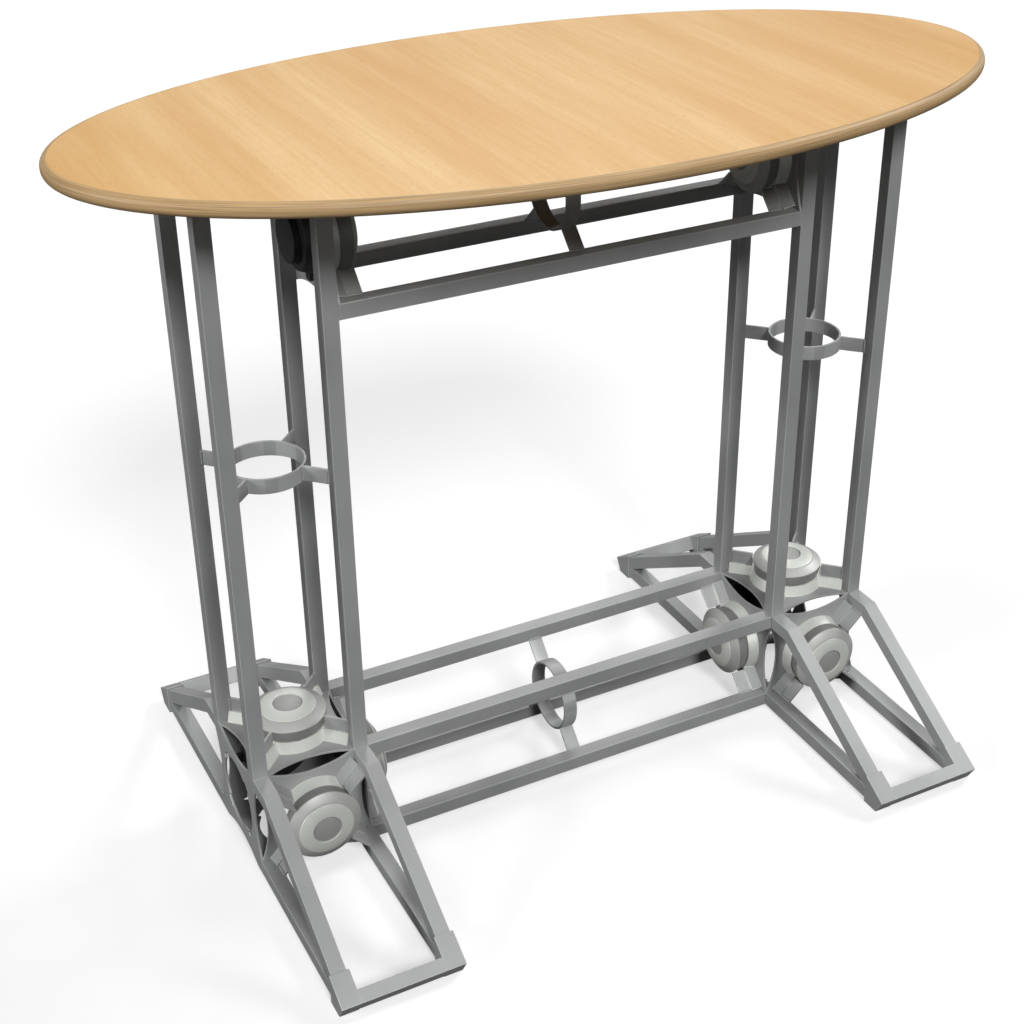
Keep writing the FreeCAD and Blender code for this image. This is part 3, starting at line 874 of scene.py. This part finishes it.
for node in sorted(frame["nodes"]):
    if node.endswith("_spiders"):
        spiders = softened(node, "frame", CAST_EDGE, aluminium, aluminium)
        spiders.data.materials.append(coat)
        spiders.data.materials.append(matt)
        for face in spiders.data.polygons:
            height, reach = from_lock(face.center)
            if height > ARM_HEIGHT + ZONE_MARGIN:
                face.material_index = STRIP_SLOT
            elif reach > HUB_RADIUS and node != "column_spiders":
                face.material_index = ARM_SLOT
for joint in frame["joints"]:
    # The plugs' black is painted shade inside the junctions.
    softened(joint["child"] + "_plug", joint["child"], CAST_EDGE, plug_shade_nylon, plug_shade_nylon)
print("spiders and plugs softened")

# %% [markdown]
# ## Weld beads
# Every strip is welded to the inner corner of a chord tube with two short beads, and a bead is a
# row of overlapping ripples. Geometry Nodes set out the many ripples: the seams are drawn as loose
# edges, turned to curves, divided at the ripple pitch, and a small ball of only twenty faces goes
# on each point. The result is realized and baked to one plain mesh.

# %% Weld bead tree
RIPPLE_PITCH = 1.6 * MM
BEAD_WIDTH = 3.6 * MM
RIPPLE_DETAIL = 1


def weld_tree():
    """Geometry Nodes tree: seams in, realized beads out."""
    tree = bpy.data.node_groups.new("weld_beads", "GeometryNodeTree")
    sockets = tree.interface
    sockets.new_socket("Seams", in_out="INPUT", socket_type="NodeSocketGeometry")
    for name in ("Ripple pitch", "Bead width"):
        sockets.new_socket(name, in_out="INPUT", socket_type="NodeSocketFloat")
    sockets.new_socket("Finish", in_out="INPUT", socket_type="NodeSocketMaterial")
    sockets.new_socket("Beads", in_out="OUTPUT", socket_type="NodeSocketGeometry")
    given = add(tree, "NodeGroupInput")
    curves = add(tree, "GeometryNodeMeshToCurve", {"Mesh": (given, "Seams")})
    steps = add(
        tree, "GeometryNodeResampleCurve",
        {"Curve": (curves, "Curve"), "Length": (given, "Ripple pitch")}, mode="LENGTH",
    )
    radius = add(tree, "ShaderNodeMath", {0: (given, "Bead width"), 1: 0.5}, operation="MULTIPLY")
    ripple = add(
        tree, "GeometryNodeMeshIcoSphere", {"Radius": (radius, 0), "Subdivisions": RIPPLE_DETAIL}
    )
    smooth = add(tree, "GeometryNodeSetShadeSmooth", {"Geometry": (ripple, "Mesh")})
    beads = add(
        tree, "GeometryNodeInstanceOnPoints",
        {"Points": (steps, "Curve"), "Instance": (smooth, "Geometry")},
    )
    solid = add(tree, "GeometryNodeRealizeInstances", {"Geometry": (beads, "Instances")})
    painted = add(
        tree, "GeometryNodeSetMaterial",
        {"Geometry": (solid, "Geometry"), "Material": (given, "Finish")},
    )
    add(tree, "NodeGroupOutput", {"Beads": (painted, "Geometry")})
    return tree


def baked(name, mesh, tree, values):
    """Object with the tree's result as a plain mesh, the modifier removed."""
    piece = bpy.data.objects.new(name, mesh)
    bpy.context.scene.collection.objects.link(piece)
    modifier = piece.modifiers.new("nodes", "NODES")
    modifier.node_group = tree
    for item in tree.interface.items_tree:
        if item.in_out == "INPUT" and item.name in values:
            modifier[item.identifier] = values[item.name]
    graph = bpy.context.evaluated_depsgraph_get()
    result = bpy.data.meshes.new_from_object(piece.evaluated_get(graph))
    piece.modifiers.clear()
    piece.data = result
    return piece


weld_nodes = weld_tree()
print("weld tree has", len(weld_nodes.nodes), "nodes")

# %% [markdown]
# The seams are worked out in a section's own frame, where Z is its axis: a strip of known
# thickness stands on the diagonal, so its faces meet the two inner sides of a chord tube a little
# way past the tube's corner. The same eight seams serve every ring brace and every spider.

# %% Weld beads
CHORD_CLEAR = 58.0 * MM
STRIP_THICKNESS = 3.0 * MM
STRIP_WIDTH = 20.0 * MM


def strip_seams(low, high):
    """Ends of the eight seams of four strips, in the section's own frame."""
    past = CHORD_CLEAR + STRIP_THICKNESS / math.sqrt(2)
    seams = []
    for x in (-1, 1):
        for y in (-1, 1):
            for spot in ((CHORD_CLEAR, past), (past, CHORD_CLEAR)):
                seams.append([Vector((x * spot[0], y * spot[1], height)) for height in (low, high)])
    return seams


def section_places():
    """Matrix and seam heights of every ring brace and spider."""
    places = []
    for node in rings:
        low, high = (Vector(corner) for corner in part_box(node))
        places.append(((low + high) / 2, section_axis(node), -STRIP_WIDTH / 2, STRIP_WIDTH / 2))
    for joint in frame["joints"]:
        strip_top = ARM_HEIGHT + STRIP_WIDTH
        places.append((Vector(joint["pos_m"]), Vector(joint["axis"]), ARM_HEIGHT, strip_top))
    return places


def seam_mesh():
    """Loose edges along every seam of the counter."""
    points = []
    for middle, axis, low, high in section_places():
        turn = Vector((0, 0, 1)).rotation_difference(axis).to_matrix()
        for seam in strip_seams(low + BEAD_WIDTH / 2, high - BEAD_WIDTH / 2):
            points += [middle + turn @ end for end in seam]
    mesh = bpy.data.meshes.new("weld_seams")
    mesh.from_pydata(points, [(i, i + 1) for i in range(0, len(points), 2)], [])
    return mesh


weld_inputs = {"Ripple pitch": RIPPLE_PITCH, "Bead width": BEAD_WIDTH, "Finish": coat}
welds = baked("weld_beads", seam_mesh(), weld_nodes, weld_inputs)
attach(welds, "frame")
print("weld bead faces", len(welds.data.polygons))

# %% [markdown]
# ## Worktop screws
# Eight button-head screws hold the worktop from below. Their CAD solids already have the head,
# the socket and the shank, so they only take the zinc finish.

# %% Screws
screws = frame["nodes"]["worktop_screws"]
screws.data.materials.clear()
screws.data.materials.append(zinc)
print("screws finished in", zinc.name)
